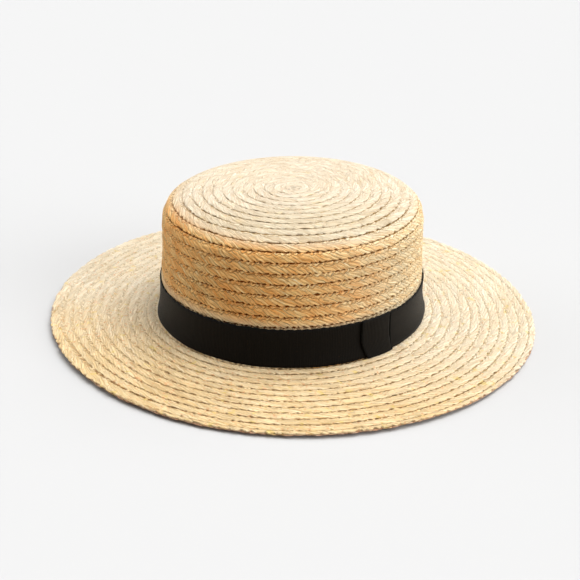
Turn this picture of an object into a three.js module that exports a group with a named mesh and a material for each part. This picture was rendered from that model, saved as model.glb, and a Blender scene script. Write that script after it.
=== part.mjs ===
// Straw boater hat: an oval flat-topped crown and a wide brim of sewn straw braid, with a black ribbon
// round the foot of the crown and a flat folded tab where the ribbon's ends meet.
//
// Millimetres, +Z up. The front of the hat faces -Y and the wearer's left is +X. The origin is on the
// surface that the hat lies on, under the middle of the brim. Angles run round from +X, in degrees.

import * as THREE from "three";

// Crown, which turns out at its foot to meet the brim
const crownBreadth = 185;
const crownLength = 194;
const crownHeight = 97;
const crownTaper = 2.8;
const shoulderDrop = 15.2;
const crownWall = 2.2;
const tipPadRadius = 24;
const filletRadius = 3.5;

// Brim
const brimWidth = 83;
const brimWall = 2.2;
const brimLift = 2;
const restWidth = 10;
const edgeLayer = 1;
const edgeSetback = 1.5;
const edgeBevel = 0.4;

// Sewn braid: each row of the spiral ends in a small step down to the next row out
const rowPitch = 7.3;
const rowLap = 0.6;
const rowStep = 0.8;

// Gap that pieces keep to each other. The seam of crown and brim is hidden under the ribbon's foot.
const seatGap = 0.3;

// Ribbon and its tab
const ribbonHeight = 27.8;
const ribbonWall = 1;
const ribbonFlare = 2.7;
const ribbonTuck = 3;
const tabWidth = 25;
const tabWall = 1;
const tabPinch = 4;
const tabAngle = -1.65;

// How the hat has settled: the crown has slipped and leans to one side, and the brim's edge waves
const slipAngle = 230;
const crownSlip = 2.1;
const crownLean = 1;
const edgeRise = 1;
const edgeWaves = [
  { waves: 1, height: 1.43, peak: 280 },
  { waves: 2, height: 0.18, peak: 17 },
  { waves: 3, height: 0.32, peak: 353 },
  { waves: 4, height: 0.3, peak: 359 },
];

// The crown's outer line from the middle of the tip to the top of its side: how far out, as a share of
// the side's distance there, and how far down, as a share of shoulderDrop
const tipLine = [
  { out: 0, down: 0 },
  { out: 0.3, down: 0.01 },
  { out: 0.49, down: 0.035 },
  { out: 0.71, down: 0.12 },
  { out: 0.87, down: 0.31 },
  { out: 0.963, down: 0.62 },
  { out: 1, down: 1 },
];

// The ribbon's spread at its foot: height as a share of the ribbon's, and spread as a share of its flare
const flareLine = [
  { up: 0, out: 1 },
  { up: 0.1, out: 0.72 },
  { up: 0.24, out: 0.4 },
  { up: 0.42, out: 0.14 },
  { up: 0.62, out: 0 },
  { up: 1, out: 0 },
];

// Facets round the hat, and in small curves
const facetsRound = 44;
const facetsFillet = 3;
const facetsUnderBrim = 5;
const facetsAcrossTab = 6;
const facetsUpTab = 5;

// Sizes that follow from these
const halfBreadth = crownBreadth / 2;
const extraLength = (crownLength - crownBreadth) / 2;
const brimEdge = halfBreadth + brimWidth;
const filletEnd = halfBreadth + filletRadius;
const brimStart = filletEnd + seatGap;
const restStart = brimEdge - restWidth;
const brimTop = brimLift + brimWall;
const filletTop = brimTop + filletRadius;
const ribbonFoot = brimTop + seatGap;
const ribbonTop = ribbonFoot + ribbonHeight;
const sideTop = { out: halfBreadth - crownTaper, up: crownHeight - shoulderDrop };

const { clamp, degToRad, lerp } = THREE.MathUtils;
const slipTowards = new THREE.Vector2(Math.cos(degToRad(slipAngle)), Math.sin(degToRad(slipAngle)));

// Height of the brim's edge over the resting surface at an angle in radians. It never dips below it.
function edgeHeight(turn) {
  let height = edgeRise;
  for (const wave of edgeWaves) {
    height += wave.height * Math.cos(wave.waves * (turn - degToRad(wave.peak)));
  }
  return Math.max(0, height);
}

// Puts a point of a round, level hat on the real one. The point is given by its distance out from the
// middle, its height and its angle. The oval is longer than it is wide by the same amount from the crown
// outwards. The brim falls from the crown to its edge, and the crown's slip and lean fade out across it.
function settle(out, up, turn) {
  const along = out + extraLength * Math.min(1, out / halfBreadth);
  const place = new THREE.Vector2(out * Math.cos(turn), along * Math.sin(turn));
  const fallen = clamp((out - filletEnd) / (restStart - filletEnd), 0, 1);
  const held = 1 - clamp((out - halfBreadth) / (restStart - halfBreadth), 0, 1);
  const lean = Math.tan(degToRad(crownLean)) * held;
  const level = up + fallen * (edgeHeight(turn) - brimLift);
  const height = level - lean * place.dot(slipTowards);
  place.addScaledVector(slipTowards, crownSlip * held + lean * level);
  return new THREE.Vector3(place.x, place.y, Math.max(0, height));
}

// Moves every corner of a geometry to where the hat's real form has it
function moveCorners(geometry, findPlace) {
  const corners = geometry.getAttribute("position");
  for (let i = 0; i < corners.count; i += 1) {
    const place = findPlace(corners.getX(i), corners.getY(i), corners.getZ(i));
    corners.setXYZ(i, place.x, place.y, place.z);
  }
  geometry.computeVertexNormals();
  return geometry;
}

// A shell that runs right round the hat, from its section
function ovalShell(section) {
  const geometry = new THREE.LatheGeometry(section, facetsRound);
  return moveCorners(geometry, (x, y, z) => settle(Math.hypot(x, z), y, Math.atan2(-z, x)));
}

// Points along lapped rows: each row rises by rowLap to its outer edge, then steps down to the next
function lappedRows(length) {
  const count = Math.max(1, Math.round(length / rowPitch));
  const pitch = length / count;
  const step = Math.min(rowStep, pitch / 2);
  const points = [];
  for (let row = 0; row < count; row += 1) {
    points.push({ along: row * pitch, sunk: rowLap });
    points.push({ along: (row + 1) * pitch - step, sunk: 0 });
  }
  return points;
}

// The crown's outer line, from the middle of the tip down to where the ribbon hides it
function crownCurve() {
  const points = tipLine.map(
    (row) => new THREE.Vector3(row.out * sideTop.out, crownHeight - row.down * shoulderDrop, 0),
  );
  const foot = new THREE.Vector3(halfBreadth, ribbonTop - ribbonTuck, 0);
  points.push(new THREE.Vector3().lerpVectors(points.at(-1), foot, 1 / 2));
  points.push(foot);
  return new THREE.CatmullRomCurve3(points, false, "centripetal");
}

// A point at a share of the way along a curve, sunk by a depth to the curve's inner side
function sunkPoint(curve, share, depth) {
  const point = curve.getPointAt(share);
  const tangent = curve.getTangentAt(share);
  return new THREE.Vector2(
    Math.max(0, point.x + tangent.y * depth),
    point.y - tangent.x * depth,
  );
}

// A quarter round where the crown's side turns out into the brim, from the side down to the level, sunk
// by one depth at the side and another at the level
function filletPoints(sideDepth, levelDepth) {
  const points = [];
  for (let i = 0; i <= facetsFillet; i += 1) {
    const turn = (Math.PI / 2) * (i / facetsFillet);
    points.push(
      new THREE.Vector2(
        filletEnd - (filletRadius + sideDepth) * Math.cos(turn),
        filletTop - (filletRadius + levelDepth) * Math.sin(turn),
      ),
    );
  }
  return points;
}

function makeCrown() {
  const curve = crownCurve();
  const length = curve.getLength();
  const rows = lappedRows(length);
  const outer = rows.map((row) => sunkPoint(curve, row.along / length, row.sunk));
  outer[0].x = 0;
  const inner = rows
    .filter((row) => row.sunk > 0)
    .map((row) => sunkPoint(curve, row.along / length, crownWall))
    .filter((point) => point.x > tipPadRadius);
  const padHeight = inner[0].y;
  const section = [
    new THREE.Vector2(0, padHeight),
    new THREE.Vector2(tipPadRadius, padHeight),
    ...inner,
    new THREE.Vector2(halfBreadth - crownWall, ribbonTop - ribbonTuck),
    ...filletPoints(crownWall, brimWall),
    ...filletPoints(0, 0).reverse(),
    new THREE.Vector2(halfBreadth, ribbonTop - ribbonTuck),
    ...outer.reverse(),
  ];
  return ovalShell(section);
}

function makeBrim() {
  const topEdge = brimEdge - edgeSetback;
  const under = [];
  for (let i = 0; i <= facetsUnderBrim; i += 1) {
    under.push(new THREE.Vector2(lerp(brimStart, restStart, i / facetsUnderBrim), brimLift));
  }
  const rows = lappedRows(topEdge - brimStart).map(
    (row) => new THREE.Vector2(brimStart + row.along, brimTop - row.sunk),
  );
  const section = [
    ...under,
    new THREE.Vector2(brimEdge - edgeBevel, brimLift),
    new THREE.Vector2(brimEdge, brimLift + edgeBevel),
    new THREE.Vector2(brimEdge, brimLift + edgeLayer),
    new THREE.Vector2(topEdge, brimLift + edgeLayer),
    ...rows.reverse(),
  ];
  section.push(section[0].clone());
  return ovalShell(section);
}

// How far the ribbon's inner face stands out from the crown's side, at a share of the ribbon's height
function ribbonOut(share, flare) {
  const depth = clamp(filletTop - lerp(ribbonFoot, ribbonTop, share), 0, filletRadius);
  const fillet = filletRadius - Math.sqrt(filletRadius ** 2 - depth ** 2);
  return seatGap + Math.max(fillet, flare * ribbonFlare);
}

// The ribbon's face at each row of flareLine, a given depth out from its inner face
function ribbonFace(depth) {
  return flareLine.map(
    (row) =>
      new THREE.Vector2(
        halfBreadth + ribbonOut(row.up, row.out) + depth,
        lerp(ribbonFoot, ribbonTop, row.up),
      ),
  );
}

function makeRibbonBand() {
  const section = [...ribbonFace(0).reverse(), ...ribbonFace(ribbonWall)];
  section.push(section[0].clone());
  return ovalShell(section);
}

// The tab is a plate bent round the ribbon's outer face, as high as the ribbon. Its front edge draws in
// towards its foot, where the ribbon spreads.
function makeRibbonTab() {
  const plate = new THREE.BoxGeometry(tabWidth, tabWall, ribbonHeight, facetsAcrossTab, 1, facetsUpTab);
  const back = ribbonFace(ribbonWall + seatGap);
  return moveCorners(plate, (x, y, z) => {
    const share = clamp(z / ribbonHeight + 1 / 2, 0, 1);
    const above = Math.max(1, flareLine.findIndex((row) => row.up >= share));
    const between = (share - flareLine[above - 1].up) / (flareLine[above].up - flareLine[above - 1].up);
    const face = new THREE.Vector2().lerpVectors(back[above - 1], back[above], between);
    const spread = lerp(flareLine[above - 1].out, flareLine[above].out, between);
    const drawnIn = tabPinch * spread ** 2 * (1 / 2 - x / tabWidth);
    const out = face.x + tabWall / 2 - y;
    return settle(out, face.y, degToRad(tabAngle) + (x + drawnIn) / halfBreadth);
  });
}

const straw = { color: 0xe0c08a, roughness: 0.8, metalness: 0 };
const ribbon = { color: 0x17181b, roughness: 0.6, metalness: 0 };

const pieces = [
  { name: "crown", geometry: makeCrown(), material: straw },
  { name: "brim", geometry: makeBrim(), material: straw },
  { name: "ribbon_band", geometry: makeRibbonBand(), material: ribbon },
  { name: "ribbon_tab", geometry: makeRibbonTab(), material: ribbon },
];

const group = new THREE.Group();
for (const piece of pieces) {
  const mesh = new THREE.Mesh(piece.geometry, new THREE.MeshStandardMaterial(piece.material));
  mesh.name = piece.name;
  group.add(mesh);
}

export default group;
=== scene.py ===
# Straw boater hat: one long raffia plait, sewn in a spiral from the middle of the tip to the brim's edge,
# with a black ribbed ribbon round the foot of the crown and a folded tab over the ribbon's ends.
#
# Sizes are in millimetres up to the point where a mesh is made. +Z is up, the front of the hat faces -Y and
# the wearer's left is +X.

import math

import bpy
import numpy as np
from mathutils import Matrix, Vector


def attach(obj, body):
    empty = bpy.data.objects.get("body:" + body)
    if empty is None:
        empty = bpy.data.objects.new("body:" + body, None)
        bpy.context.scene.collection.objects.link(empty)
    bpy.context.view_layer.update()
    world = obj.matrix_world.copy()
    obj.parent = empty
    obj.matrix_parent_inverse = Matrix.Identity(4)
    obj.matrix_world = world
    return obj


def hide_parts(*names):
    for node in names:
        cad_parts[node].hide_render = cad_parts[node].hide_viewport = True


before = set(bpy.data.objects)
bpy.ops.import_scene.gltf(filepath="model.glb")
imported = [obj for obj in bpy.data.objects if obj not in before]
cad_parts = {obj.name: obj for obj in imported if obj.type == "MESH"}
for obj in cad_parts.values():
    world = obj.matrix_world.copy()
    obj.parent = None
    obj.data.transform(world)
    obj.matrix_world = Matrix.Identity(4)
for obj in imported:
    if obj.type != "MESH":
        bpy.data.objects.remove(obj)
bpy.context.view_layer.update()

# A millimetre in metres, and a full turn
MM = 0.001
TURN = 2 * math.pi

# Crown and brim, as the solids have them
CROWN_BREADTH = 185.0
CROWN_LENGTH = 194.0
CROWN_HEIGHT = 97.0
CROWN_TAPER = 2.8
SHOULDER_DROP = 15.2
STRAW_WALL = 2.2
FILLET_RADIUS = 3.5
BRIM_WIDTH = 83.0
BRIM_LIFT = 2.0
REST_WIDTH = 10.0

# Ribbon and tab, as the solids have them
SEAT_GAP = 0.3
RIBBON_HEIGHT = 27.8
RIBBON_WALL = 1.0
RIBBON_FLARE = 2.7
RIBBON_TUCK = 3.0
TAB_WIDTH = 25.0
TAB_WALL = 1.0
TAB_PINCH = 4.0
TAB_ANGLE = math.radians(-1.65)

# How the hat has settled
SLIP_ANGLE = math.radians(230)
CROWN_SLIP = 2.1
CROWN_LEAN = math.radians(1)
EDGE_RISE = 1.0

# Waves of the brim's edge: how many go round, their height, and the angle of a peak
EDGE_WAVES = [
    (1, 1.43, math.radians(280)),
    (2, 0.18, math.radians(17)),
    (3, 0.32, math.radians(353)),
    (4, 0.3, math.radians(359)),
]

# The crown's line from the tip's middle to the top of its side: how far out, as a share of the side's
# distance there, and how far down, as a share of the shoulder's drop
TIP_LINE = [(0.0, 0.0), (0.3, 0.01), (0.49, 0.035), (0.71, 0.12), (0.87, 0.31), (0.963, 0.62), (1.0, 1.0)]

# The ribbon's spread at its foot: how far up, as a share of its height, and out, as a share of its flare
FLARE_LINE = [(0.0, 1.0), (0.1, 0.72), (0.24, 0.4), (0.42, 0.14), (0.62, 0.0), (1.0, 0.0)]

HALF_BREADTH = CROWN_BREADTH / 2
EXTRA_LENGTH = (CROWN_LENGTH - CROWN_BREADTH) / 2
BRIM_EDGE = HALF_BREADTH + BRIM_WIDTH
FILLET_END = HALF_BREADTH + FILLET_RADIUS
REST_START = BRIM_EDGE - REST_WIDTH
BRIM_TOP = BRIM_LIFT + STRAW_WALL
FILLET_TOP = BRIM_TOP + FILLET_RADIUS
RIBBON_FOOT = BRIM_TOP + SEAT_GAP
RIBBON_TOP = RIBBON_FOOT + RIBBON_HEIGHT
SIDE_TOP = (HALF_BREADTH - CROWN_TAPER, CROWN_HEIGHT - SHOULDER_DROP)

# The plait: its rows' mean widths on the tip, the side and the brim, how far it is tucked under the row
# before, its thickness, and the angle round the hat at which it ends
TIP_PITCH = 7.1
SIDE_PITCH = 7.7
BRIM_PITCH = 6.9
LAP_TUCK = 2.2
PLAIT_THICKNESS = 1.1
SPIRAL_END = math.radians(280)

# The plait's end: it stops short of the brim's edge, and tapers off from a width over a share of a turn
END_SHORT = 0.6
END_WIDTH = 2.6
END_TAPER = 0.04

# Length of a step along the plait, and the samples and smallest radius with which the spiral is measured
STEP_ALONG = 0.85
SPIRAL_SAMPLES = 120000
LEAST_RADIUS = 2.5

# How the strands lie at each reach along the crown's and the brim's line: the repeat along the row, the run
# along the row for each step across it, the height of their relief, the share of the row over which it rises
# from under the row before, how far the gap between rows closes up in places, how much fuller its free edge
# is, and the share of the row over which its strands run the other way
STRAND_STYLE = {
    "reach": [0.0, 84.0, 95.0, 172.0, 184.0, 196.0, 260.0],
    "repeat": [6.6, 6.2, 4.2, 4.2, 6.0, 6.8, 7.0],
    "run": [2.6, 2.2, 1.65, 1.65, 2.2, 3.0, 3.2],
    "relief": [0.22, 0.28, 0.9, 0.9, 0.34, 0.32, 0.32],
    "rise": [0.22, 0.26, 0.5, 0.5, 0.3, 0.22, 0.22],
    "closing": [0.95, 0.7, 0.15, 0.15, 0.4, 0.85, 0.85],
    "swell": [0.0, 0.05, 0.4, 0.4, 0.1, 0.05, 0.05],
    "turn_back": [0.27, 0.27, 0.32, 0.32, 0.27, 0.27, 0.27],
}

# Seeded unevenness of the hand's work: size, spacing in millimetres along the plait, and seed of each part.
# The wander of the rows has a number of steps in a turn in place of the spacing.
ROW_WANDER = [(0.3, 16, 11), (0.18, 61, 12)]
COUNT_WARP = [(0.32, 6.5, 21), (0.20, 2.9, 22)]
LEAN_CHANGE = [(0.12, 31, 23)]
ZIGZAG_CHANGE = [(0.11, 4.1, 24)]
RELIEF_CHANGE = [(0.35, 5.7, 31)]
CLOSING_CHANGE = [(1.2, 3.4, 32)]
LOBE_CHANGE = [(0.8, 4.4, 33)]
EDGE_WANDER = [(0.30, 8.5, 34)]
RIM_WANDER = [(0.55, 6, 41)]

# The wander of the rows grows from nothing over the first turns, and fades over the last
WANDER_START = 1.5
WANDER_END = 0.4

# The strands: the power and fullness of their round, how far the rising ones run beside the falling ones, and
# how far the line where the two sets meet swings
STRAND_POWER = 2.6
STRAND_FULL = 1.08
STRAND_FALL = 0.16
RISING_RUN = 0.62
RISING_SHIFT = 0.5
ZIGZAG_SWING = 0.08

# Height that is left of a strand where the two sets meet, the share of the row over which it recovers, and
# the height of the strands at which their relief is level with the row
MEETING_HEIGHT = 0.55
MEETING_SHARE = 0.10
RELIEF_LEVEL = 0.6

# Heights of a row over the straw's inner face: where it is tucked in, how much higher it comes out where the
# gap is closed up, and along its back
TUCK_HEIGHT = 1.0
CLOSED_RISE = 0.8
BACK_HEIGHT = 2.06

# Share of a row over which its strands start to show, and over which its fuller free edge grows
SHOW_SHARE = 0.13
SWELL_SHARE = 0.7

# The gap between rows closes up by this much on the whole, and on the tip and the brim also by the angle from
# one side: a level, a swing with the angle's cosine, and the most that it closes up
GAP_CLOSING = 0.55
TIP_CLOSING = {"side": math.radians(110), "level": 0.7, "swing": 0.9, "most": 0.95}
BRIM_CLOSING = {"side": math.radians(-35), "level": 1.08, "swing": -1.2, "most": 0.92}
TIP_BORDER = 12.0

# The free edge of a row: how far it is rounded off over its last share, its lobes, and how far they may stand
# out. On the last turn, which is the hat's edge, they are larger.
EDGE_DROP = 0.34
EDGE_DROP_SHARE = 0.14
EDGE_RAISE = 0.05
LOBE_SIZE = 0.95
LOBE_LEVEL = 0.55
LOBE_REACH = 0.75
LOBE_SHARE = 0.28
LOBE_FULL_WIDTH = 4.0
LAST_LOBES = 0.7
LAST_LOBES_START = 1.1
LAST_LOBES_EASE = 0.1
EDGE_WORN = 0.95

# Relief of the strands on the plait's underside
UNDER_RELIEF = 0.10
UNDER_LEVEL = 0.5

# Smallest sizes that a point or a row may have
LEAST_OUT = 0.01
LEAST_HEIGHT = 0.02
LEAST_WIDTH = 0.05
LEAST_SHARED_WIDTH = 0.5


# The hat's form

def edge_height(turn):
    height = np.full_like(turn, EDGE_RISE)
    for count, size, peak in EDGE_WAVES:
        height += size * np.cos(count * (turn - peak))
    return np.maximum(0, height)


def settle(out, up, turn):
    """Puts points of a round, level hat on the real one, as the solids have it. Gives an (n, 3) array."""
    along = out + EXTRA_LENGTH * np.minimum(1, out / HALF_BREADTH)
    x, y = out * np.cos(turn), along * np.sin(turn)
    fallen = np.clip((out - FILLET_END) / (REST_START - FILLET_END), 0, 1)
    held = 1 - np.clip((out - HALF_BREADTH) / (REST_START - HALF_BREADTH), 0, 1)
    lean = math.tan(CROWN_LEAN) * held
    level = up + fallen * (edge_height(turn) - BRIM_LIFT)
    towards = (math.cos(SLIP_ANGLE), math.sin(SLIP_ANGLE))
    height = level - lean * (x * towards[0] + y * towards[1])
    slip = CROWN_SLIP * held + lean * level
    return np.stack([x + towards[0] * slip, y + towards[1] * slip, np.maximum(0, height)], axis=-1)


def catmull_rom(points, steps):
    """A centripetal Catmull-Rom curve through points, with steps samples on each stretch."""
    points = np.array(points, float)
    points = np.vstack([2 * points[0] - points[1], points, 2 * points[-1] - points[-2]])
    curve = []
    for a, b, c, d in zip(points, points[1:], points[2:], points[3:]):
        ab, bc, cd = (math.sqrt(np.linalg.norm(q - p)) for p, q in ((a, b), (b, c), (c, d)))
        start = bc * ((b - a) / ab - (c - a) / (ab + bc) + (c - b) / bc)
        end = bc * ((c - b) / bc - (d - b) / (bc + cd) + (d - c) / cd)
        t = np.arange(steps)[:, None] / steps
        bend = -3 * b + 3 * c - 2 * start - end
        curve.append(b + start * t + bend * t**2 + (2 * b - 2 * c + start + end) * t**3)
    curve.append(points[-2][None, :])
    return np.vstack(curve)


def hat_line():
    """The outer line of the crown and the brim's top: reach along it, distance out, height and normal."""
    steps = 60
    samples = 1200
    same_point = 1e-6
    tip = [(out * SIDE_TOP[0], CROWN_HEIGHT - down * SHOULDER_DROP) for out, down in TIP_LINE]
    foot = (HALF_BREADTH, RIBBON_TOP - RIBBON_TUCK)
    tip.append(((tip[-1][0] + foot[0]) / 2, (tip[-1][1] + foot[1]) / 2))
    tip.append(foot)
    turns = np.linspace(0, math.pi / 2, steps)
    fillet_out = FILLET_END - FILLET_RADIUS * np.cos(turns)
    fillet_up = FILLET_TOP - FILLET_RADIUS * np.sin(turns)
    line = np.vstack([catmull_rom(tip, steps), np.stack([fillet_out, fillet_up], 1), [(BRIM_EDGE, BRIM_TOP)]])
    line = line[np.append(True, np.linalg.norm(np.diff(line, axis=0), axis=1) > same_point)]
    reach = np.append(0, np.cumsum(np.linalg.norm(np.diff(line, axis=0), axis=1)))
    even = np.linspace(0, reach[-1], samples)
    out = np.interp(even, reach, line[:, 0])
    up = np.interp(even, reach, line[:, 1])
    along_out = np.gradient(out, even)
    along_up = np.gradient(up, even)
    size = np.hypot(along_out, along_up)
    normals = {"normal_out": -along_up / size, "normal_up": along_out / size}
    return {"reach": even, "out": out, "up": up, **normals}


LINE = hat_line()
LINE_END = LINE["reach"][-1]
FILLET_REACH = LINE_END - (BRIM_EDGE - FILLET_END)
TOP_LAYER_END = LINE_END - END_SHORT


def side_reach():
    """Reach of the top of the crown's side."""
    slack = 0.01
    on_crown = LINE["out"] < HALF_BREADTH + slack
    return float(np.interp(-SIDE_TOP[1], -LINE["up"][on_crown], LINE["reach"][on_crown]))


SIDE_REACH = side_reach()


def place_on_line(reach, height, turn):
    """Points at a reach along the hat's line, a height over its inner face, and an angle round the hat."""
    over = height - STRAW_WALL
    beyond = np.maximum(0, reach - LINE_END)
    out = np.interp(reach, LINE["reach"], LINE["out"]) + beyond
    up = np.interp(reach, LINE["reach"], LINE["up"])
    normal_out = np.interp(reach, LINE["reach"], LINE["normal_out"])
    normal_up = np.interp(reach, LINE["reach"], LINE["normal_up"])
    return settle(np.maximum(LEAST_OUT, out + over * normal_out), up + over * normal_up, turn)


# The spiral of plait

def smooth_noise(where, spacing, seed):
    """Seeded noise from -1 to 1 that changes smoothly over the spacing."""
    count = 8192
    start = 64
    knots = np.random.default_rng(seed).uniform(-1, 1, count)
    place = np.asarray(where) / spacing + start
    low = np.floor(place).astype(int)
    share = place - low
    share = share * share * (3 - 2 * share)
    return knots[low % count] * (1 - share) + knots[(low + 1) % count] * share


def uneven(where, parts):
    """Unevenness along the plait, from parts of a size, a spacing and a seed."""
    return sum(size * smooth_noise(where, spacing, seed) for size, spacing, seed in parts)


def row_turns():
    """Turns at which the spiral reaches the side, the fillet, its taper and its end, and their reaches."""
    tip = SIDE_REACH / TIP_PITCH
    side = tip + (FILLET_REACH - SIDE_REACH) / SIDE_PITCH
    taper_reach = TOP_LAYER_END - END_WIDTH
    brim = side + (taper_reach - FILLET_REACH) / BRIM_PITCH
    turns = np.array([0, tip, side, brim, brim + END_TAPER])
    return turns, np.array([0, SIDE_REACH, FILLET_REACH, taper_reach, TOP_LAYER_END])


ROW_TURNS, ROW_REACHES = row_turns()
LAST_TURN = ROW_TURNS[-1]


def row_reach(turns):
    """Reach of a row's upper edge after a number of turns, with the small wander of hand sewing."""
    wander = sum(size * smooth_noise(turns * steps, 1, seed) for size, steps, seed in ROW_WANDER)
    free = np.clip(turns / WANDER_START, 0, 1) * np.clip((LAST_TURN - turns) / WANDER_END, 0, 1)
    return np.interp(turns, ROW_TURNS, ROW_REACHES) + wander * free


def style_at(reach, key):
    return np.interp(reach, STRAND_STYLE["reach"], STRAND_STYLE[key])


def spiral_table():
    """Turns at even steps along the plait, from its start at the tip's middle to its end at the rim."""
    turns = np.linspace(-1, LAST_TURN, SPIRAL_SAMPLES)
    middle = (row_reach(turns) + row_reach(turns + 1)) / 2
    radius = np.maximum(LEAST_RADIUS, np.interp(middle, LINE["reach"], LINE["out"]) + EXTRA_LENGTH / 2)
    length = np.append(0, np.cumsum(np.diff(turns) * TURN * (radius[1:] + radius[:-1]) / 2))
    phase = np.append(0, np.cumsum(np.diff(length) / style_at(middle, "repeat")[1:]))
    even = np.arange(0, length[-1], STEP_ALONG)
    at = np.interp(even, length, turns)
    return {"turns": at, "length": even, "phase": np.interp(even, length, phase)}


SPIRAL = spiral_table()

# A section of the plait, in shares of its width. The top runs from the tucked upper edge to the free edge,
# and the bottom runs back to a little short of where it began. FREE_EDGE is the free edge's place in it.
TOP_SHARES = [0.0, 0.07, 0.16, 0.27, 0.38, 0.49, 0.60, 0.71, 0.82, 0.91, 0.97]
BOTTOM_SHARES = [0.94, 0.66, 0.36, 0.05]
TUCK_THICK = 0.35
FREE_EDGE = len(TOP_SHARES) + 1
AT_FREE_EDGE = 0.999


def section_rows(width):
    """Distance across of each point of the plait's section, its share of the width, and if it is on top."""
    top = [np.full_like(width, -LAP_TUCK)] + [share * width for share in TOP_SHARES]
    under = [width] + [share * width for share in BOTTOM_SHARES]
    under.append(np.full_like(width, TUCK_THICK - LAP_TUCK))
    across = np.stack(top + under, axis=1)
    on_top = np.array([True] * len(top) + [False] * len(under))
    return across, across / np.maximum(LEAST_SHARED_WIDTH, width)[:, None], on_top


def strand_round(count):
    """Height across a strand, from 0 at its edges to 1 along its back, a little fuller on one side."""
    share = count - np.floor(count)
    return (1 - np.abs(2 * share - 1) ** STRAND_POWER) * (STRAND_FULL - STRAND_FALL * share)


def plait_pattern(length, phase, reach, across, share):
    """The two sets of slanting strands: their counts along the row, and which of the two is on top."""
    repeat, run, turn_back = (style_at(reach, key)[:, None] for key in ("repeat", "run", "turn_back"))
    count = (phase + uneven(length, COUNT_WARP))[:, None]
    lean_change = 1 + uneven(length, LEAN_CHANGE)[:, None]
    falling = count + across * run * lean_change / repeat
    rising = count - across * run * RISING_RUN / repeat + RISING_SHIFT
    zigzag = ZIGZAG_SWING * np.sin(TURN * count) + uneven(length, ZIGZAG_CHANGE)[:, None]
    return falling, rising, share - turn_back - zigzag


def strand_height(falling, rising, over):
    """Height across the strand that is on top, lower where the two sets meet."""
    chosen = np.where(over > 0, strand_round(falling), strand_round(rising))
    recovered = np.clip(np.abs(over) / MEETING_SHARE, 0, 1)
    return chosen * (MEETING_HEIGHT + (1 - MEETING_HEIGHT) * recovered)


def closed_up(turn, rule):
    """How far the gap between rows closes up by the angle from one side."""
    return rule["most"] * np.clip(rule["level"] + rule["swing"] * np.cos(turn - rule["side"]), 0, 1)


def row_rise(turn, length, middle, share):
    """Height of a row over the straw's inner face, from where it is tucked in to its back."""
    closed = np.clip(GAP_CLOSING + uneven(length, CLOSING_CHANGE), 0, 1) * style_at(middle, "closing")
    closed = np.maximum(closed, closed_up(turn, TIP_CLOSING) * (middle < SIDE_REACH - TIP_BORDER))
    closed = np.maximum(closed, closed_up(turn, BRIM_CLOSING) * (middle > FILLET_REACH))
    low = TUCK_HEIGHT + CLOSED_RISE * closed[:, None]
    risen = np.clip(share / style_at(middle, "rise")[:, None], 0, 1)
    return low + (BACK_HEIGHT - low) * np.sin(math.pi / 2 * risen)


def lobed_edge(turns, length, falling, share, width):
    """How far the lobed, ragged free edge of a row stands out past its line."""
    lobes = LOBE_SIZE * (strand_round(falling[:, FREE_EDGE:FREE_EDGE + 1]) - LOBE_LEVEL)
    ragged = lobes * (1 + uneven(length, LOBE_CHANGE)[:, None]) + uneven(length, EDGE_WANDER)[:, None]
    on_last = np.clip(turns - LAST_TURN + LAST_LOBES_START, 0, LAST_LOBES_EASE)[:, None] / LAST_LOBES_EASE
    stands_out = np.minimum((1 + LAST_LOBES * on_last) * ragged, LOBE_REACH)
    near_edge = np.clip((share - 1 + LOBE_SHARE) / LOBE_SHARE, 0, 1)
    return EDGE_WORN * stands_out * near_edge * np.clip(width / LOBE_FULL_WIDTH, 0, 1)[:, None]


def make_plait(first, last):
    """Points, strand pattern and lay of the plait between two steps of the spiral."""
    steps = slice(first, last + 1)
    turns, length, phase = (SPIRAL[key][steps] for key in ("turns", "length", "phase"))
    turn = SPIRAL_END + TURN * (LAST_TURN - turns)
    upper = row_reach(turns)
    lower = np.minimum(row_reach(turns + 1), TOP_LAYER_END)
    middle = (upper + lower) / 2
    width = np.maximum(LEAST_WIDTH, lower - upper)
    across, share, on_top = section_rows(width)
    falling, rising, over = plait_pattern(length, phase, middle, across, share)
    strands = strand_height(falling, rising, over)
    visible = np.clip(share / SHOW_SHARE, 0, 1)
    rise = row_rise(turn, length, middle, share)
    swell = style_at(middle, "swell")[:, None] * np.clip(share / SWELL_SHARE, 0, 1)
    relief = (style_at(middle, "relief") * (1 + uneven(length, RELIEF_CHANGE)))[:, None]
    rounded = EDGE_DROP * np.clip((share - 1 + EDGE_DROP_SHARE) / EDGE_DROP_SHARE, 0, 1) ** 2
    top = np.where(share < 0, TUCK_HEIGHT, rise + swell) - rounded
    top = top + relief * visible * (strands - RELIEF_LEVEL)
    bottom = PLAIT_THICKNESS * (across + LAP_TUCK) / (width[:, None] + LAP_TUCK)
    bottom = bottom + UNDER_RELIEF * visible * (UNDER_LEVEL - strands)
    edge = (PLAIT_THICKNESS + rise) / 2 + EDGE_RAISE
    height = np.where(on_top[None, :], top, np.where(share >= AT_FREE_EDGE, edge, bottom))
    reach = upper[:, None] + across + lobed_edge(turns, length, falling, share, width)
    reach = np.maximum(LEAST_HEIGHT, reach)
    turn = np.broadcast_to(turn[:, None], reach.shape)
    points = place_on_line(reach, np.maximum(LEAST_HEIGHT, height), turn)
    lay = np.stack([np.broadcast_to(length[:, None], reach.shape), across, share], axis=-1)
    return points, np.stack([falling, rising, over], axis=-1), lay


# Meshes

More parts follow.
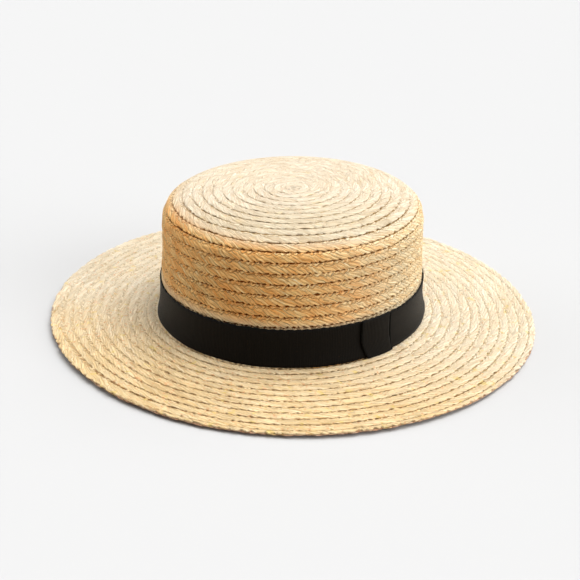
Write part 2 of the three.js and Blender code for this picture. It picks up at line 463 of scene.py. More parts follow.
def mesh_from_grid(name, points, fields, closed_round=False):
    """A closed mesh from an (n, m, 3) array in millimetres: m points round each section, n sections.

    A run that isn't closed round gets a cap at each end. fields are (name, (n, m, 3) array) to keep as
    attributes. The map that it gets for textures folds the long run into rows that fill a square.
    """
    count, around = points.shape[:2]
    runs = count if closed_round else count - 1
    first = np.arange(runs)[:, None] * around
    second = ((np.arange(runs)[:, None] + 1) % count) * around
    here = np.arange(around)[None, :]
    following = (here + 1) % around
    corners = [first + here, second + here, second + following, first + following]
    quads = np.stack(corners, axis=-1).reshape(-1, 4)
    loops = quads.ravel()
    sizes = np.full(len(quads), 4)
    caps = 0 if closed_round else 2
    if caps:
        loops = np.concatenate([loops, np.arange(around), (count - 1) * around + np.arange(around)[::-1]])
        sizes = np.append(sizes, [around, around])
    mesh = bpy.data.meshes.new(name)
    mesh.vertices.add(count * around)
    mesh.vertices.foreach_set("co", (points.reshape(-1) * MM).astype(np.float32))
    mesh.loops.add(len(loops))
    mesh.loops.foreach_set("vertex_index", loops.astype(np.int32))
    mesh.polygons.add(len(sizes))
    mesh.polygons.foreach_set("loop_start", (np.cumsum(sizes) - sizes).astype(np.int32))
    mesh.polygons.foreach_set("use_smooth", np.ones(len(sizes), bool))
    for field, values in fields:
        layer = mesh.attributes.new(field, "FLOAT_VECTOR", "POINT")
        layer.data.foreach_set("vector", values.reshape(-1).astype(np.float32))
    add_folded_map(mesh, points, runs, around, caps)
    mesh.update(calc_edges=True)
    mesh.validate()
    piece = bpy.data.objects.new(name, mesh)
    bpy.context.scene.collection.objects.link(piece)
    return piece


# The folded texture map: the share of its row that a run fills, its margins, and where the two caps' small
# rings lie over the rows
MAP_ROW_FILL = 0.94
MAP_MARGIN = 0.001
MAP_WIDTH = 0.998
MAP_HEIGHT = 0.99
CAP_RING = 0.0006
CAP_PLACE = (0.5, 0.9985)
CAP_SPACING = 0.01


def add_folded_map(mesh, points, runs, around, caps):
    """A texture map without overlaps: the run is folded into rows, one above the other."""
    ring = np.linalg.norm(points[0] - np.roll(points[0], -1, axis=0), axis=1).sum()
    length = np.linalg.norm(np.diff(points[:, 0], axis=0), axis=1).sum()
    rows = max(1, round(math.sqrt(length / ring)))
    per_row = math.ceil(runs / rows)
    run = np.arange(runs)
    row, place = run // per_row, run % per_row
    left, right = place / per_row, (place + 1) / per_row
    low = np.arange(around) / around
    high = (np.arange(around) + 1) / around
    u = np.stack([left, right, right, left], axis=-1)[:, None, :].repeat(around, axis=1)
    v = (row[:, None, None] + MAP_ROW_FILL * np.stack([low, low, high, high], axis=-1)[None, :, :]) / rows
    coords = np.stack([u * MAP_WIDTH, v * MAP_HEIGHT], axis=-1).reshape(-1, 2) + MAP_MARGIN
    ends = np.linspace(0, TURN, around, endpoint=False)
    cap_ring = CAP_RING * np.stack([np.cos(ends), np.sin(ends)], axis=-1)
    for cap in range(caps):
        coords = np.vstack([coords, cap_ring + (CAP_PLACE[0] + cap * CAP_SPACING, CAP_PLACE[1])])
    layer = mesh.uv_layers.new(name="OFBake")
    layer.data.foreach_set("uv", coords.reshape(-1).astype(np.float32))


# Node helpers

class Nodes:
    """A short way to write a material's nodes."""

    def __init__(self, name):
        self.material = bpy.data.materials.new(name)
        self.material.use_nodes = True
        self.tree = self.material.node_tree
        self.tree.nodes.clear()
        self.shader = self.tree.nodes.new("ShaderNodeBsdfPrincipled")
        output = self.tree.nodes.new("ShaderNodeOutputMaterial")
        self.tree.links.new(self.shader.outputs["BSDF"], output.inputs["Surface"])

    def add(self, kind, inputs=(), **settings):
        node = self.tree.nodes.new(kind)
        for key, value in settings.items():
            setattr(node, key, value)
        for key, value in dict(inputs).items():
            self.feed(node.inputs[key], value)
        return node

    def feed(self, socket, value):
        if isinstance(value, bpy.types.NodeSocket):
            self.tree.links.new(value, socket)
        else:
            socket.default_value = value

    def field(self, name):
        """The three parts of a mesh attribute."""
        source = self.add("ShaderNodeAttribute", attribute_name=name)
        parts = self.add("ShaderNodeSeparateXYZ", {"Vector": source.outputs["Vector"]})
        return parts.outputs["X"], parts.outputs["Y"], parts.outputs["Z"]

    def math(self, operation, *values):
        node = self.add("ShaderNodeMath", operation=operation)
        for socket, value in zip(node.inputs, values):
            self.feed(socket, value)
        return node.outputs[0]

    def plus(self, *values):
        return self.math("ADD", *values)

    def minus(self, *values):
        return self.math("SUBTRACT", *values)

    def times(self, *values):
        return self.math("MULTIPLY", *values)

    def most(self, *values):
        return self.math("MAXIMUM", *values)

    def size(self, value):
        return self.math("ABSOLUTE", value)

    def ease(self, value, low, high, to_low=0.0, to_high=1.0):
        """Turns low to high into to_low to to_high, smoothly and no further."""
        inputs = {"Value": value, "From Min": low, "From Max": high, "To Min": to_low, "To Max": to_high}
        return self.add("ShaderNodeMapRange", inputs, interpolation_type="SMOOTHSTEP").outputs[0]

    def point(self, x, y, z):
        return self.add("ShaderNodeCombineXYZ", {"X": x, "Y": y, "Z": z}).outputs[0]

    def noise(self, vector, scale, detail):
        node = self.add("ShaderNodeTexNoise", {"Vector": vector, "Scale": scale, "Detail": detail})
        return node.outputs["Fac"]

    def ramp(self, value, stops):
        node = self.add("ShaderNodeValToRGB", {"Fac": value})
        elements = node.color_ramp.elements
        while len(elements) < len(stops):
            elements.new(0.5)
        for element, (place, colour) in zip(elements, stops):
            element.position = place
            element.color = (*colour, 1)
        return node.outputs["Color"]

    def mix(self, share, one, other, blend="MIX"):
        node = self.add("ShaderNodeMix", data_type="RGBA", blend_type=blend)
        self.feed(node.inputs["Factor"], share)
        for key, value in (("A", one), ("B", other)):
            socket = next(s for s in node.inputs if s.name == key and s.type == "RGBA")
            self.feed(socket, value if isinstance(value, bpy.types.NodeSocket) else (*value, 1))
        return next(s for s in node.outputs if s.type == "RGBA")

    def shade(self, socket, value):
        """Sets one of the shader's own values."""
        self.feed(self.shader.inputs[socket], value)

    def bump(self, height, distance, strength):
        node = self.add("ShaderNodeBump", {"Height": height, "Distance": distance, "Strength": strength})
        self.shade("Normal", node.outputs["Normal"])


# Straw's colours from the darkest strands to the lightest, in linear values. They are lit and shaded copies
# of
# one straw: the paler sets are painted light, the deeper and more orange ones painted shade.
# The tip's tones: pale, painted light on the top that faces the lamps
LIT_TIP_TONES = [
    (0.0, (0.56, 0.41, 0.24)),
    (0.2, (0.72, 0.585, 0.41)),
    (0.5, (0.815, 0.70, 0.54)),
    (0.8, (0.865, 0.77, 0.62)),
    (1.0, (0.91, 0.84, 0.70)),
]
# The brim's tones on the side of the hat towards the lamps: paler, painted light
LIT_BRIM_TONES = [
    (0.0, (0.64, 0.46, 0.265)),
    (0.2, (0.79, 0.645, 0.44)),
    (0.5, (0.87, 0.75, 0.56)),
    (0.8, (0.91, 0.81, 0.64)),
    (1.0, (0.94, 0.87, 0.73)),
]
# The brim's tones on the side of the hat away from the lamps: deeper, painted shade
SHADED_BRIM_TONES = [
    (0.0, (0.60, 0.37, 0.14)),
    (0.2, (0.735, 0.51, 0.245)),
    (0.5, (0.83, 0.63, 0.345)),
    (0.8, (0.88, 0.70, 0.425)),
    (1.0, (0.93, 0.78, 0.53)),
]
# The crown side's tones: deep orange, painted shade of the upright side
SHADED_SIDE_TONES = [
    (0.0, (0.60, 0.20, 0.035)),
    (0.2, (0.92, 0.40, 0.10)),
    (0.5, (1.0, 0.565, 0.195)),
    (0.8, (1.0, 0.71, 0.32)),
    (1.0, (1.0, 0.88, 0.58)),
]
# The crown side's tones on the side of the hat towards the lamps: paler, painted light
LIT_SIDE_TONES = [
    (0.0, (0.66, 0.38, 0.14)),
    (0.2, (0.94, 0.68, 0.36)),
    (0.5, (1.0, 0.83, 0.53)),
    (0.8, (1.0, 0.89, 0.64)),
    (1.0, (1.0, 0.94, 0.76)),
]
# The narrow plait under the brim's edge: darker, painted shade of its place under the edge, and a redder
# brown
SHADED_RIM_TONES = [
    (0.0, (0.34, 0.15, 0.08)),
    (0.5, (0.62, 0.38, 0.24)),
    (1.0, (0.85, 0.62, 0.44)),
]

# What each kind of straw looks like: its tones, the colour of its gaps and painted shadow lines, and as
# values in turn how wide and how dark the painted shade in the gaps between strands is, how dark the splits
# in a strand are, the width of the painted shadow line under a row's edge as a share of the row, and how much
# shows of the painted shading of a strand's round and of the flecks
STRAW_LOOKS = {
    "rim": {"tones": SHADED_RIM_TONES, "gap": (0.16, 0.055, 0.02), "values": (0.3, 0.7, 0.5, 0.3, 0.3, 0.5)},
    "tip": {"tones": LIT_TIP_TONES, "gap": (0.27, 0.15, 0.035), "values": (0.10, 0.12, 0.08, 0.21, 0.05, 0.22)},
    "side": {"tones": SHADED_SIDE_TONES, "gap": (0.20, 0.050, 0.004), "values": (0.30, 0.58, 0.22, 0.17, 0.08, 0.2)},
    "brim": {"tones": SHADED_BRIM_TONES, "gap": (0.19, 0.070, 0.006), "values": (0.12, 0.30, 0.20, 0.27, 0.08, 0.8)},
    "pale": {"tones": LIT_BRIM_TONES, "gap": (0.27, 0.165, 0.03), "values": (0.10, 0.12, 0.08, 0.27, 0.03, 0.6)},
}

# How the straw changes over a piece. The look is low under the shoulder and high over it. The low look is
# itself at shade_reach metres towards shade_side, the side of the hat that the lamps light least, where its
# deeper tones are painted shade. From there to the hat's middle its tones turn into lit_tones, paler tones of
# painted light, by the share lit_paling, and its other values into the high look's, by the share smoothing.
# The painted shadow lines fade by the share fading away from the lined side, over shadow_line_range, and
# towards it they break up into dots, by the share dotting.
STRAW_SETTINGS = {
    "crown": {
        "low": "side", "high": "tip", "lit_tones": LIT_SIDE_TONES, "shade_side": (0.342, -0.94),
        "shade_reach": 0.088, "lit_paling": 0.86, "smoothing": 0.3, "fading": 0.0, "dotting": 0.0,
        "shadow_line_range": (-0.01, 0.05),
    },
    "brim": {
        "low": "brim", "high": "pale", "lit_tones": LIT_BRIM_TONES, "shade_side": (0.574, -0.819),
        "shade_reach": 0.142, "lit_paling": 1.0, "smoothing": 1.0, "fading": 0.55, "dotting": 1.0,
        "shadow_line_range": (0.02, 0.11),
    },
    "rim": {
        "low": "rim", "high": "rim", "lit_tones": SHADED_RIM_TONES, "shade_side": (0.574, -0.819),
        "shade_reach": 0.13, "lit_paling": 0.0, "smoothing": 0.0, "fading": 0.0, "dotting": 0.0,
        "shadow_line_range": (0.02, 0.11),
    },
}

# Height in metres over which the look of the crown's side, with its painted shade, turns into the tip's paler
# look of painted light
SHOULDER_BLEND = (0.0845, 0.0925)

# The painted shadow lines under the rows' edges stand out most towards this side of the hat, and fade on the
# tip by this share
SHADOW_LINE_SIDE = (0.819, -0.574)
TIP_LINE_FADING = 0.95
DOTTED_RANGE = (0.05, 0.15)

# Noise inside a strand: how many fibres lie side by side, the step from strand to strand, and the detail
FIBRES = (3.0, 5.3, 2.0)
BUNDLES = (2.5, 7.9, 1.0)
FINE_FIBRES = (11.0, 3.1, 2.0)
FIBRE_PACE = 0.22
RISING_STEP = 0.37

# Noise over the whole hat: scale and detail
PATCHES = (24.0, 3.0)
FLECKS = (420.0, 2.0)
OLIVE_FLECKS = (150.0, 3.0)
OLIVE_SHIFT = (3.1, 1.7, 0.4)

# What makes a strand's tone, and the level that is taken off
STRAND_TONE = 0.30
FIBRE_TONE = 1.30
PATCH_TONE = 0.5
TONE_LEVEL = 0.29

# Streaks of the fine fibres, and their share in the low look and the high one
STREAKS = [(0.30, (0.70, 0.58, 0.42)), (0.46, (1.0, 1.0, 1.0)), (0.75, (1.04, 1.04, 1.02))]
STREAK_SHARES = (0.3, 0.8)

# Painted shade: the tip is a little deeper in tone towards the lined side, away from the lamps
TIP_FRONT_SHADE = (0.92, 0.91, 0.85)
TIP_FRONT_SHADE_RANGE = (0.01, 0.06)

# Flecks: the noise over which they show, and their colour
BROWN = ((0.58, 0.72), (0.80, 0.42, 0.20))
OLIVE = ((0.61, 0.72), (0.80, 0.60, 0.20))

# Painted light: a paler band on the crown's side just over the ribbon, where the last row's lobes catch the
# light: its heights in metres, share and colour
LIT_BAND = (0.0325, 0.0385)
LIT_BAND_FOOT = 0.02
LIT_BAND_SHARE = 0.55
LIT_BAND_COLOUR = (1.0, 0.84, 0.56)

# Shading of a strand's round, from its edge inwards and from where the two sets meet
ROUND_RANGE = (0.0, 0.75)
MEETING_RANGE = (0.0, 0.22)
ROUND_SHADE = (0.50, 0.30, 0.14)

# Painted shade in the gaps between strands and where the two sets meet, and dark splits inside a strand
GAP_SPREAD = 8.0
GAP_SHIFT = -3.5
LEAST_GAP = 0.01
MEETING_GAP = 0.06
SPLIT_GAP = 0.045

# The painted shadow line under a row's edge: how it wanders, where it shows and where it breaks up into dots
LINE_WANDER = (0.6, 0.42)
LINE_START = 0.55
LEAST_LINE = 0.02
LINE_SHOWN = {"pace": 0.26, "offset": 7.0, "range": (0.36, 0.50)}
LINE_DOTS = {"pace": 0.62, "offset": 11.0, "range": (0.42, 0.56)}

# The straw's gloss and the parts of its relief
STRAW_ROUGHNESS = (0.50, 0.72)
STRAW_SPECULAR = 0.12
STRAW_BUMP = 0.0007
BUMP_GAPS = 0.4
BUMP_FIBRES = 1.3
BUMP_FINE = 0.3
BUMP_SPLITS = 0.4


def side_of_hat(n, spot, direction):
    """Distance from the hat's middle in a direction."""
    return n.plus(n.times(spot["X"], direction[0]), n.times(spot["Y"], direction[1]))


def strand_noise(n, place, along, number, kind):
    """Noise stretched along the fibres, and different in each strand."""
    fibres, step, detail = kind
    return n.noise(n.point(n.times(place, fibres), along, n.times(number, step)), 1.0, detail)


def row_noise(n, length, rule):
    """Noise that changes along the row alone, eased to 0 to 1."""
    noise = n.noise(n.point(n.times(length, rule["pace"]), 0.0, rule["offset"]), 1.0, 2.0)
    return n.ease(noise, *rule["range"])


def straw_material(name, setting):
    """Raffia: slanting strands, each of its own tone, with fine fibres along them and dark gaps between."""
    n = Nodes(name)
    low = STRAW_LOOKS[setting["low"]]
    high = STRAW_LOOKS[setting["high"]]
    falling, rising, over = n.field("plait")
    length, across, share = n.field("lay")
    where = n.add("ShaderNodeTexCoord").outputs["Object"]
    spot = n.add("ShaderNodeSeparateXYZ", {"Vector": where}).outputs

    # The place on the hat
    towards = side_of_hat(n, spot, setting["shade_side"])
    facing = side_of_hat(n, spot, SHADOW_LINE_SIDE)
    on_tip = n.ease(spot["Z"], *SHOULDER_BLEND)
    # Painted light: the tones turn paler away from the shade side
    turned = n.ease(towards, 0.0, setting["shade_reach"], setting["lit_paling"], 0.0)
    blend = n.most(on_tip, turned)
    smooth = n.most(on_tip, n.ease(towards, 0.0, setting["shade_reach"], setting["smoothing"], 0.0))
    gap_width, gap_share, split_share, shadow_line_width, round_share, fleck_share = (
        n.ease(smooth, 0.0, 1.0, *values) for values in zip(low["values"], high["values"])
    )

    # The strand on top, the place across it and its number
    is_falling = n.math("GREATER_THAN", over, 0.0)
    strand = n.plus(rising, n.times(is_falling, n.minus(falling, rising)))
    place = n.math("FRACT", strand)
    number = n.plus(n.math("FLOOR", strand), n.times(is_falling, RISING_STEP))
    middle = n.minus(1.0, n.size(n.minus(n.times(place, 2.0), 1.0)))
    met = n.size(over)
    along = n.times(across, FIBRE_PACE)
    fibres = strand_noise(n, place, along, number, FIBRES)
    bundles = strand_noise(n, place, along, number, BUNDLES)
    fine = strand_noise(n, place, along, number, FINE_FIBRES)

    # Tones
    tone = n.add("ShaderNodeTexWhiteNoise", {"W": number}, noise_dimensions="1D").outputs["Value"]
    toned = n.minus(n.plus(n.times(tone, STRAND_TONE), n.times(fibres, FIBRE_TONE)), TONE_LEVEL)
    toned = n.plus(toned, n.times(n.minus(n.noise(where, *PATCHES), 0.5), PATCH_TONE))
    straw = n.mix(turned, n.ramp(toned, low["tones"]), n.ramp(toned, setting["lit_tones"]))
    straw = n.mix(on_tip, straw, n.ramp(toned, high["tones"]))
    straw = n.mix(n.ease(blend, 0.0, 1.0, *STREAK_SHARES), straw, n.ramp(fine, STREAKS), "MULTIPLY")
    tip_front_shade = n.times(on_tip, n.ease(facing, *TIP_FRONT_SHADE_RANGE))
    straw = n.mix(tip_front_shade, straw, n.mix(1.0, straw, TIP_FRONT_SHADE, "MULTIPLY"))

    # Flecks, the painted light on the band over the ribbon, and the painted shade of the strands' round
    shifted = n.add("ShaderNodeVectorMath", {0: where, 1: OLIVE_SHIFT}, operation="ADD").outputs[0]
    flecks = ((n.noise(where, *FLECKS), BROWN), (n.noise(shifted, *OLIVE_FLECKS), OLIVE))
    for noise, (noise_range, colour) in flecks:
        straw = n.mix(n.times(n.ease(noise, *noise_range), fleck_share), straw, colour)
    lit_over_ribbon = n.ease(spot["Z"], *LIT_BAND, LIT_BAND_SHARE, 0.0)
    straw = n.mix(n.times(lit_over_ribbon, n.math("GREATER_THAN", spot["Z"], LIT_BAND_FOOT)), straw, LIT_BAND_COLOUR)
    shaded = n.times(n.ease(middle, *ROUND_RANGE, 1.0, 0.0), round_share)
    shaded = n.most(shaded, n.times(n.ease(met, *MEETING_RANGE, 1.0, 0.0), round_share))
    straw = n.mix(shaded, straw, n.mix(1.0, straw, ROUND_SHADE, "MULTIPLY"))

    # Painted shade in the gaps between strands, and the splits in them
    width = n.times(gap_width, n.plus(n.times(fibres, GAP_SPREAD), GAP_SHIFT))
    between = n.times(n.ease(middle, 0.0, n.most(width, LEAST_GAP)), n.ease(met, 0.0, MEETING_GAP))
    joined = n.ease(n.size(n.minus(bundles, 0.5)), 0.0, SPLIT_GAP)
    dark = n.most(n.times(n.minus(1.0, between), gap_share), n.times(n.minus(1.0, joined), split_share))

    # Painted shadow: the dark line under the edge of the row before
    wander = n.noise(n.point(n.times(length, LINE_WANDER[0]), along, 0.0), 1.0, 2.0)
    line_end = n.plus(shadow_line_width, n.times(n.minus(0.5, wander), LINE_WANDER[1]))
    line = n.ease(share, n.times(line_end, LINE_START), n.most(line_end, LEAST_LINE))
    far_side = n.ease(facing, *setting["shadow_line_range"], 1.0, 0.0)
    faded = n.times(far_side, n.most(n.times(on_tip, TIP_LINE_FADING), setting["fading"]))
    broken = n.ease(facing, *DOTTED_RANGE, setting["dotting"], 0.0)
    dotted = n.times(n.minus(1.0, row_noise(n, length, LINE_DOTS)), broken)
    shown = n.times(row_noise(n, length, LINE_SHOWN), n.minus(1.0, dotted))
    painted_row_shadow = n.times(n.minus(1.0, line), n.times(shown, n.minus(1.0, faded)))
    gap = n.mix(blend, low["gap"], high["gap"])
    n.shade("Base Color", n.mix(n.most(dark, painted_row_shadow), straw, gap))

    n.shade("Roughness", n.ease(fine, 0.2, 0.8, *STRAW_ROUGHNESS))
    n.shade("Specular IOR Level", STRAW_SPECULAR)
    coarse = n.plus(n.times(between, BUMP_GAPS), n.times(fibres, BUMP_FIBRES))
    n.bump(n.plus(coarse, n.plus(n.times(fine, BUMP_FINE), n.times(joined, BUMP_SPLITS))), STRAW_BUMP, 1.0)
    return n.material


# The ribbon's cloth: the spacing of its ribs, the paces of its thread and slubs along and across it, its
# colours, the painted shadow along a fold, and its gloss
RIB_SPACING = 1.15
THREAD_PACE = (2.6, 2.6)
SLUB_PACE = (0.9, 0.05)
CLOTH_COLOURS = [(0.0029, 0.0020, 0.0012), (0.0055, 0.0042, 0.0030)]
RIB_COLOUR = (0.0026, 0.0020, 0.0014)
RIB_SHARE = 0.80
FOLD_SHADOW_COLOUR = (0.0004, 0.0003, 0.0002)
FOLD_SHADOW_RANGE = (2.0, 1.2)
CLOTH_ROUGHNESS = (0.48, 0.68)
CLOTH_SPECULAR = 0.085
CLOTH_SHEEN = 0.08
CLOTH_SHEEN_ROUGHNESS = 0.4
CLOTH_BUMP = 0.00014
CLOTH_BUMP_STRENGTH = 0.7


def ribbon_material(name, folds=None):
    """Black ribbon with fine upright ribs and a slight sheen. folds is half the width between two folds,
    along which a dark line of painted shadow is put.
    """
    n = Nodes(name)
    length, across, _ = n.field("lay")
    rib = n.math("SINE", n.times(length, TURN / RIB_SPACING))
    thread = n.point(n.times(length, THREAD_PACE[0]), n.times(across, THREAD_PACE[1]), 0.0)
    thread = n.noise(thread, 1.0, 3.0)
    slub = n.point(n.times(length, SLUB_PACE[0]), n.times(across, SLUB_PACE[1]), 0.0)
    slub = n.noise(slub, 1.0, 2.0)
    cloth = n.mix(n.ease(slub, 0.3, 0.7), *CLOTH_COLOURS)
    cloth = n.mix(n.ease(rib, -1.0, 0.4, 0.0, RIB_SHARE), RIB_COLOUR, cloth)
    # Painted shadow: a near-black line along the tab's turned-under edges
    if folds:
        folded = n.ease(n.size(length), folds - FOLD_SHADOW_RANGE[0], folds - FOLD_SHADOW_RANGE[1])
        cloth = n.mix(folded, cloth, FOLD_SHADOW_COLOUR)
    n.shade("Base Color", cloth)
    n.shade("Roughness", n.ease(thread, 0.25, 0.75, *CLOTH_ROUGHNESS))
    n.shade("Specular IOR Level", CLOTH_SPECULAR)
    n.shade("Sheen Weight", CLOTH_SHEEN)
    n.shade("Sheen Roughness", CLOTH_SHEEN_ROUGHNESS)
    n.bump(n.plus(n.times(rib, 0.5), n.times(thread, 0.5)), CLOTH_BUMP, CLOTH_BUMP_STRENGTH)
    return n.material


# The straw pieces

# Reach at which the crown's plait is parted from the brim's, under the ribbon's foot
HIDDEN_REACH = FILLET_REACH - 8.0

CROWN_PIECES = ["crown_tip", "crown_side", "crown_foot"]
BRIM_PIECES = ["brim_inner", "brim_middle", "brim_outer"]


def dress(piece, material, node):
    """Gives a piece its material, puts it on the hat's root body and hides the solid that it stands for."""
    piece.data.materials.append(material)
    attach(piece, "root")
    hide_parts(node)


def split_steps(first, last, names):
    """Equal stretches of the spiral's steps, one for each name."""
    ends = np.linspace(first, last, len(names) + 1).round().astype(int)
    return [(name, int(a), int(b)) for name, a, b in zip(names, ends, ends[1:])]


def make_straw():
    turns = SPIRAL["turns"]
    crown_end = int(np.searchsorted(turns, np.interp(HIDDEN_REACH, ROW_REACHES, ROW_TURNS)))
    stretches = {
        "crown": split_steps(0, crown_end, CROWN_PIECES),
        "brim": split_steps(crown_end, len(turns) - 1, BRIM_PIECES),
    }
    for node, pieces in stretches.items():
        material = straw_material(f"raffia_{node}", STRAW_SETTINGS[node])
        for name, first, last in pieces:
            points, pattern, lay = make_plait(first, last)
            piece = mesh_from_grid(name, points, [("plait", pattern), ("lay", lay)])
            dress(piece, material, node)


# The narrow plait under the brim's edge: its width, how far it stays back from the edge, the repeat of its
# strands, and where its noise and strand numbers start, away from the long plait's
RIM_WIDTH = 6.0
RIM_BACK = 0.55
RIM_REPEAT = 7.0
RIM_LENGTH_START = 40000
RIM_COUNT_START = 9000

# Its heights over the straw's inner face: at its inner side, how much it rises, its strands' relief, its
# underside and its edge
RIM_LOW = 0.30
RIM_RISE = 0.55
RIM_RISE_SHARE = 0.5
RIM_RELIEF = 0.18
RIM_RELIEF_SHARE = 0.3
RIM_UNDER = 0.05
RIM_EDGE = 0.45

# Its lobes, which grow over its outer part, and the least that its falling strands lie over the others
RIM_LOBES = 0.35
RIM_LOBES_SHARE = 0.5
RIM_OVER = 0.1


def make_rim():
    """A narrower plait under the edge of the brim, which stands out a little below the top row."""
    turns = np.arange(0, 1, STEP_ALONG / (TURN * BRIM_EDGE))
    length = turns * TURN * BRIM_EDGE + RIM_LENGTH_START
    across, share, on_top = section_rows(np.full_like(turns, RIM_WIDTH))
    phase = np.round(turns[-1] * TURN * BRIM_EDGE / RIM_REPEAT) * turns + RIM_COUNT_START
    falling, rising, over = plait_pattern(length, phase, np.full_like(turns, LINE_END), across, share)
    relief = RIM_RELIEF * np.clip(share / RIM_RELIEF_SHARE, 0, 1) * (strand_round(falling) - 0.5)
    top = RIM_LOW + RIM_RISE * np.clip(share / RIM_RISE_SHARE, 0, 1) + relief
    height = np.where(on_top[None, :], top, np.where(share >= AT_FREE_EDGE, RIM_EDGE, RIM_UNDER))
    lobes = RIM_LOBES * (strand_round(falling[:, FREE_EDGE:FREE_EDGE + 1]) - LOBE_LEVEL)
    lobes = lobes + uneven(length, RIM_WANDER)[:, None]
    lobes = lobes * np.clip((share - 1 + RIM_LOBES_SHARE) / RIM_LOBES_SHARE, 0, 1)
    reach = LINE_END - RIM_WIDTH - RIM_BACK + across + lobes
    turn = np.broadcast_to(SPIRAL_END - TURN * turns[:, None], reach.shape)
    lay = np.stack([np.broadcast_to(length[:, None], reach.shape), across, share], axis=-1)
    pattern = np.stack([falling, rising, np.maximum(over, RIM_OVER)], axis=-1)
    fields = [("plait", pattern), ("lay", lay)]
    piece = mesh_from_grid("brim_rim", place_on_line(reach, height, turn), fields, closed_round=True)
    dress(piece, straw_material("raffia_rim", STRAW_SETTINGS["rim"]), "brim")


# Ribbon and tab

def ribbon_out(share):
    """How far the ribbon's inner face stands out from the crown's side, at a share of its height."""
    flare = np.interp(share, *zip(*FLARE_LINE))
    depth = np.clip(FILLET_TOP - (RIBBON_FOOT + share * RIBBON_HEIGHT), 0, FILLET_RADIUS)
    fillet = FILLET_RADIUS - np.sqrt(FILLET_RADIUS**2 - depth**2)
    return SEAT_GAP + np.maximum(fillet, flare * RIBBON_FLARE)


# The ribbon's mesh, and the share of its height that its edges are rolled in
RIBBON_STEPS = 960
RIBBON_ROWS = 12
EDGE_ROLL = 0.012

# The ribbon's slight waves out from the crown, in the middle of its height and at its foot: size, waves and
# start. It stands off the crown by at least the clearance.
MIDDLE_WAVES = (0.22, 5, 0.6)
FOOT_WAVES = (0.12, 13, 2.0)
WAVE_CLEARANCE = 0.2

# The puckers of its upper edge, one for each stitch, and the smaller ones of its foot: sizes, seeded
# unevenness, and the power by which they fade away from the edge
STITCH = 5.6
STITCH_CHANGE = [(1.5, 9, 51)]
PUCKER = 0.55
PUCKER_CHANGE = [(0.25, 4.5, 52)]
PUCKER_LEVEL = 0.35
FOOT_CHANGE = [(0.22, 5.0, 53)]
PUCKER_POWER = 12


def cloth_section(rows, wall):
    """A thin cloth's section with rounded edges: share of the height, and depth out from its inner face."""
    share = np.clip(np.linspace(0, 1, rows), EDGE_ROLL, 1 - EDGE_ROLL)
    outer = np.stack([share, np.full(rows, wall)], axis=1)
    inner = np.stack([share[::-1], np.zeros(rows)], axis=1)
    return np.vstack([[(0.0, wall / 2)], outer, [(1.0, wall / 2)], inner])


def waved(turns, waves):
    size, count, start = waves
    return size * np.sin(count * turns + start)[:, None]


def make_ribbon():
    turns = np.linspace(0, TURN, RIBBON_STEPS, endpoint=False)
    section = cloth_section(RIBBON_ROWS, RIBBON_WALL)
    share, depth = section[:, 0][None, :], section[:, 1][None, :]
    length = turns * (HALF_BREADTH + EXTRA_LENGTH / 2)
    swell = waved(turns, MIDDLE_WAVES) * share * (1 - share) * 4 + waved(turns, FOOT_WAVES) * (1 - share)
    stitches = np.abs(np.sin(length * math.pi / STITCH + uneven(length, STITCH_CHANGE)))
    puckers = (PUCKER * stitches + uneven(length, PUCKER_CHANGE) - PUCKER_LEVEL)[:, None]
    foot_puckers = uneven(length, FOOT_CHANGE)[:, None]
    height = RIBBON_FOOT + share * RIBBON_HEIGHT
    height = height + puckers * share**PUCKER_POWER + foot_puckers * (1 - share) ** PUCKER_POWER
    out = HALF_BREADTH + ribbon_out(share) + depth + np.maximum(0, swell + WAVE_CLEARANCE)
    points = settle(out, height, np.broadcast_to(turns[:, None], out.shape))
    lay = np.stack(np.broadcast_arrays(length[:, None], share * RIBBON_HEIGHT, share), axis=-1)
    piece = mesh_from_grid("ribbon", points[::-1], [("lay", lay[::-1])], closed_round=True)
    dress(piece, ribbon_material("ribbon_cloth"), "ribbon_band")


# The tab's mesh
TAB_ROWS = 30
TAB_COLUMNS = 60
TAB_FOLD_STEPS = 7

# The tab's form: how its front edge draws in at its foot, how it puffs out in the middle, how its back edge
# lifts, and the crease beside its front fold, which fades to the foot
DRAWN_IN_SHARE = 0.45
DRAWN_IN_POWER = 1.3
TAB_PUFF = 0.35
TAB_LIFT = 0.45
TAB_LIFT_START = 0.55
TAB_LIFT_FOOT = 0.4
CREASE_DEPTH = 0.75
CREASE_PLACE = 10.9
CREASE_WIDTH = 0.5
CREASE_FOOT = 0.12
CREASE_FADE = 0.3
CREASE_LEAST = 0.15
OUTER_DEPTH = 0.4

# How far the tab stands off the ribbon, and how far it is raised and longer than the ribbon is high
TAB_CLEARANCE = 0.35
TAB_RAISE = 0.15
TAB_EXTRA = 0.1


def tab_ring():
    """Points round the tab's level section: distance along it, and depth out from its inner face."""
    half = TAB_WIDTH / 2
    fold = TAB_WALL / 2
    side = np.linspace(-1, 1, TAB_COLUMNS)
    turns = np.linspace(-math.pi / 2, math.pi / 2, TAB_FOLD_STEPS)[1:-1]
    ring = [(x * (half - fold), TAB_WALL) for x in side]
    ring += [(half - fold + fold * math.cos(a), fold - fold * math.sin(a)) for a in turns]
    ring += [(x * (half - fold), 0.0) for x in side[::-1]]
    ring += [(-half + fold - fold * math.cos(a), fold + fold * math.sin(a)) for a in turns]
    return np.array(ring)


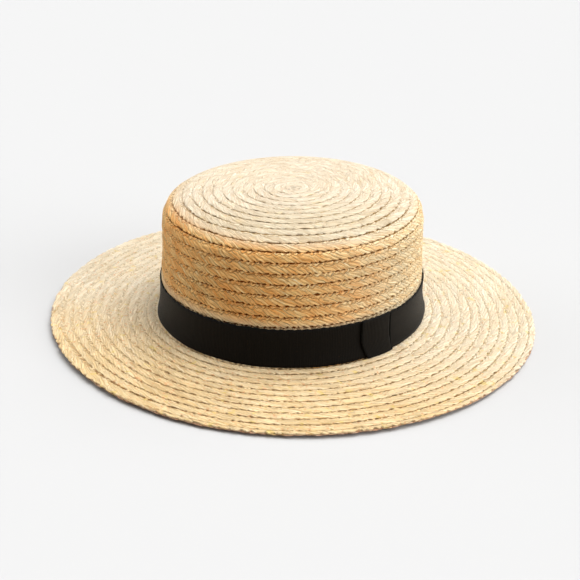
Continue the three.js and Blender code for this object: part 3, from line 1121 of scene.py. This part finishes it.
def make_tab():
    """The folded tab: a strip of the same ribbon laid over the band's ends and turned under at both sides."""
    half = TAB_WIDTH / 2
    ring = tab_ring()
    x, depth = ring[:, 0][None, :], ring[:, 1][None, :]
    outside = depth > OUTER_DEPTH
    share = np.linspace(0, 1, TAB_ROWS)[:, None]
    drawn_in = np.clip(1 - share / DRAWN_IN_SHARE, 0, 1) ** DRAWN_IN_POWER
    drawn_in = TAB_PINCH * drawn_in * (0.5 - x / TAB_WIDTH)
    puff = TAB_PUFF * np.clip(1 - (x / half) ** 2, 0, 1) * outside
    lift = TAB_LIFT * np.clip((-x / half - TAB_LIFT_START) / (1 - TAB_LIFT_START), 0, 1)
    lift = lift * (TAB_LIFT_FOOT + (1 - TAB_LIFT_FOOT) * share)
    crease = CREASE_DEPTH * np.exp(-(((x - CREASE_PLACE) / CREASE_WIDTH) ** 2)) * outside
    crease = crease * np.clip((share - CREASE_FOOT) / CREASE_FADE, CREASE_LEAST, 1)
    back = HALF_BREADTH + ribbon_out(share) + RIBBON_WALL + SEAT_GAP + TAB_CLEARANCE
    out = back + depth + puff + lift - crease
    height = RIBBON_FOOT + TAB_RAISE + share * (RIBBON_HEIGHT + TAB_EXTRA)
    points = settle(out, np.broadcast_to(height, out.shape), TAB_ANGLE + (x + drawn_in) / HALF_BREADTH)
    lay = np.stack(np.broadcast_arrays(x, share * RIBBON_HEIGHT, share), axis=-1)
    piece = mesh_from_grid("ribbon_tab_fold", points, [("lay", lay)])
    dress(piece, ribbon_material("tab_cloth", folds=half), "ribbon_tab")


# Camera, floor and light

CAMERA_PLACE = (0.5955, -0.5048, 0.39345)
CAMERA_TARGET = (-0.00251, -0.003, 0.01536)
CAMERA_LENS = 72.46
CAMERA_SENSOR = 36
CAMERA_ROLL = math.radians(2.2)


def make_camera():
    data = bpy.data.cameras.new("camera")
    data.lens = CAMERA_LENS
    data.sensor_width = CAMERA_SENSOR
    camera = bpy.data.objects.new("camera", data)
    camera.location = CAMERA_PLACE
    look = (Vector(CAMERA_TARGET) - Vector(CAMERA_PLACE)).to_track_quat("-Z", "Y").to_matrix()
    camera.rotation_euler = (look @ Matrix.Rotation(CAMERA_ROLL, 3, "Z")).to_euler()
    bpy.context.scene.collection.objects.link(camera)
    bpy.context.scene.camera = camera


# The floor, a square of pale paper: half its side in metres, how pale it is, and its roughness
FLOOR_HALF = 6.0
FLOOR_PALE = 0.54
FLOOR_ROUGHNESS = 0.95


def make_floor():
    half = FLOOR_HALF
    mesh = bpy.data.meshes.new("floor")
    corners = [(-half, -half, 0), (half, -half, 0), (half, half, 0), (-half, half, 0)]
    mesh.from_pydata(corners, [], [(0, 1, 2, 3)])
    floor = bpy.data.objects.new("floor", mesh)
    bpy.context.scene.collection.objects.link(floor)
    n = Nodes("floor_paper")
    n.shade("Base Color", (FLOOR_PALE, FLOOR_PALE, FLOOR_PALE, 1))
    n.shade("Roughness", FLOOR_ROUGHNESS)
    n.shade("Specular IOR Level", 0.0)
    mesh.materials.append(n.material)


# Suns: the angle round the hat and the angle up at which each one stands, its width, and how bright it makes
# white paper that faces it
LIGHTS = [
    ("top", 80, 78, 50, 0.865),
    ("back", 95, 45, 40, 0.30),
    ("right", 30, 27, 45, 0.60),
    ("left", 215, 36, 50, 0.35),
]

# The plain surround: how bright it is as light, and how bright beyond the floor's edge to the eye
WORLD_STRENGTH = 0.17
WORLD_SEEN = 0.91


def make_light():
    world = bpy.data.worlds.new("studio")
    world.use_nodes = True
    nodes, links = world.node_tree.nodes, world.node_tree.links
    background = nodes["Background"]
    background.inputs["Color"].default_value = (1, 1, 1, 1)
    seen = nodes.new("ShaderNodeLightPath").outputs["Is Camera Ray"]
    strength = nodes.new("ShaderNodeMapRange")
    strength.inputs["To Min"].default_value = WORLD_STRENGTH
    strength.inputs["To Max"].default_value = WORLD_SEEN
    links.new(seen, strength.inputs["Value"])
    links.new(strength.outputs["Result"], background.inputs["Strength"])
    bpy.context.scene.world = world
    for name, turn, up, width, bright in LIGHTS:
        data = bpy.data.lights.new(name, "SUN")
        data.angle = math.radians(width)
        data.energy = bright * math.pi
        light = bpy.data.objects.new(name, data)
        light.rotation_euler = (0, math.radians(90 - up), math.radians(turn))
        bpy.context.scene.collection.objects.link(light)
    bpy.context.scene.view_settings.view_transform = "Standard"


make_camera()
make_floor()
make_light()
make_straw()
make_rim()
make_ribbon()
make_tab()
